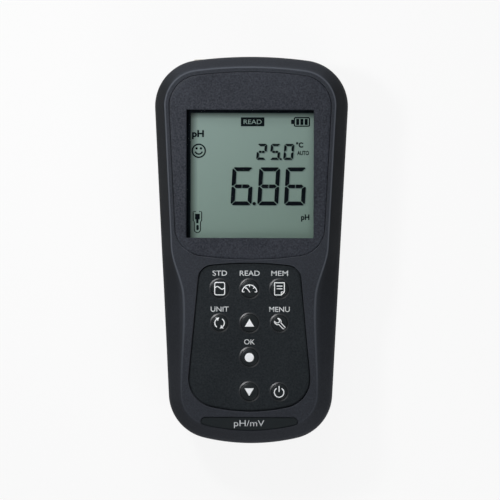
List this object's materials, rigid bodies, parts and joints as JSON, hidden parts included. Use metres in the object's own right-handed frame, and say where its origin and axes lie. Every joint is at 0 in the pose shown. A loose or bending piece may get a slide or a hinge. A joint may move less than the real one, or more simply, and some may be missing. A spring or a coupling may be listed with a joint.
{
  "type": "portable ph meter",
  "caption": "Handheld battery pH meter with a large segment display, round push keys, a waisted thumb grip and sockets for an electrode, a probe and a temperature plug at its head.",
  "frame": {"origin": "middle of the footprint, on the plane that the rubber feet stand on, with the meter lying on its back", "axes": "+X to the right across the face, +Y along the face towards the sockets at the head, +Z out of the display"},
  "size_m": [0.08, 0.16, 0.0406],
  "materials": {
    "case": "fine textured soft-touch",
    "panel": "fine textured",
    "overlay": "pebble grain",
    "label": "satin",
    "keys": "satin",
    "window": "clear",
    "lcd": "reflective grey-green",
    "seal": "matte",
    "grey_rubber": "matte",
    "black_plastic": "satin",
    "white_plastic": "satin",
    "nickel": "nickel plated",
    "gold": "gold plated",
    "tin": "tinned",
    "steel": "zinc plated",
    "board": "solder mask",
    "cable": "flat cable",
    "cell": "printed sleeve"
  },
  "bodies": {
    "housing": {"front_case": "case", "rear_case": "case", "case_gasket": "seal", "display_panel": "panel", "display_window": "window", "lcd_cell": "lcd", "light_guide": "white_plastic", "lcd_frame": "black_plastic", "contact_strips": "seal", "main_board": "board", "tact_switches": "black_plastic", "board_chips": "black_plastic", "shield_can": "tin", "buzzer": "black_plastic", "keypad_overlay": "overlay", "keypad_mat": "grey_rubber", "label_plate": "label", "electrode_socket": "nickel", "socket_insulator": "white_plastic", "socket_contact": "gold", "socket_nut": "nickel", "probe_socket": "nickel", "probe_socket_core": "black_plastic", "probe_pins": "gold", "temperature_jack": "nickel", "jack_nut": "nickel", "jack_body": "black_plastic", "data_port": "tin", "port_bezel": "black_plastic", "port_cover_pin": "steel", "socket_board": "board", "ribbon_cable": "cable", "battery_door": "case", "battery_door_gasket": "seal", "battery_door_screws": "steel", "battery_1": "cell", "battery_2": "cell", "battery_springs": "steel", "battery_plates": "steel", "case_screws": "steel", "board_screws": "steel", "rubber_feet": "seal"},
    "key_calibrate_button": {"key_calibrate": "keys"},
    "key_measure_button": {"key_measure": "keys"},
    "key_data_button": {"key_data": "keys"},
    "key_mode_button": {"key_mode": "keys"},
    "key_up_button": {"key_up": "keys"},
    "key_setup_button": {"key_setup": "keys"},
    "key_enter_button": {"key_enter": "keys"},
    "key_down_button": {"key_down": "keys"},
    "key_power_button": {"key_power": "keys"},
    "port_flap": {"port_cover": "seal"}
  },
  "joints": [
    {"name": "press_calibrate", "type": "slide", "parent": "housing", "child": "key_calibrate_button", "axis": [0, 0, -1], "range_m": [0, 0.0006], "stiffness_N_per_m": 1200, "springref_m": -0.0003},
    {"name": "press_measure", "type": "slide", "parent": "housing", "child": "key_measure_button", "axis": [0, 0, -1], "range_m": [0, 0.0006], "stiffness_N_per_m": 1200, "springref_m": -0.0003},
    {"name": "press_data", "type": "slide", "parent": "housing", "child": "key_data_button", "axis": [0, 0, -1], "range_m": [0, 0.0006], "stiffness_N_per_m": 1200, "springref_m": -0.0003},
    {"name": "press_mode", "type": "slide", "parent": "housing", "child": "key_mode_button", "axis": [0, 0, -1], "range_m": [0, 0.0006], "stiffness_N_per_m": 1200, "springref_m": -0.0003},
    {"name": "press_up", "type": "slide", "parent": "housing", "child": "key_up_button", "axis": [0, 0, -1], "range_m": [0, 0.0006], "stiffness_N_per_m": 1200, "springref_m": -0.0003},
    {"name": "press_setup", "type": "slide", "parent": "housing", "child": "key_setup_button", "axis": [0, 0, -1], "range_m": [0, 0.0006], "stiffness_N_per_m": 1200, "springref_m": -0.0003},
    {"name": "press_enter", "type": "slide", "parent": "housing", "child": "key_enter_button", "axis": [0, 0, -1], "range_m": [0, 0.0006], "stiffness_N_per_m": 1200, "springref_m": -0.0003},
    {"name": "press_down", "type": "slide", "parent": "housing", "child": "key_down_button", "axis": [0, 0, -1], "range_m": [0, 0.0006], "stiffness_N_per_m": 1200, "springref_m": -0.0003},
    {"name": "press_power", "type": "slide", "parent": "housing", "child": "key_power_button", "axis": [0, 0, -1], "range_m": [0, 0.0006], "stiffness_N_per_m": 1200, "springref_m": -0.0003},
    {"name": "port_cover_hinge", "type": "hinge", "parent": "housing", "child": "port_flap", "pos_m": [0.022, 0.0689, 0.0056], "axis": [-1, 0, 0], "range_deg": [0, 100]}
  ]
}
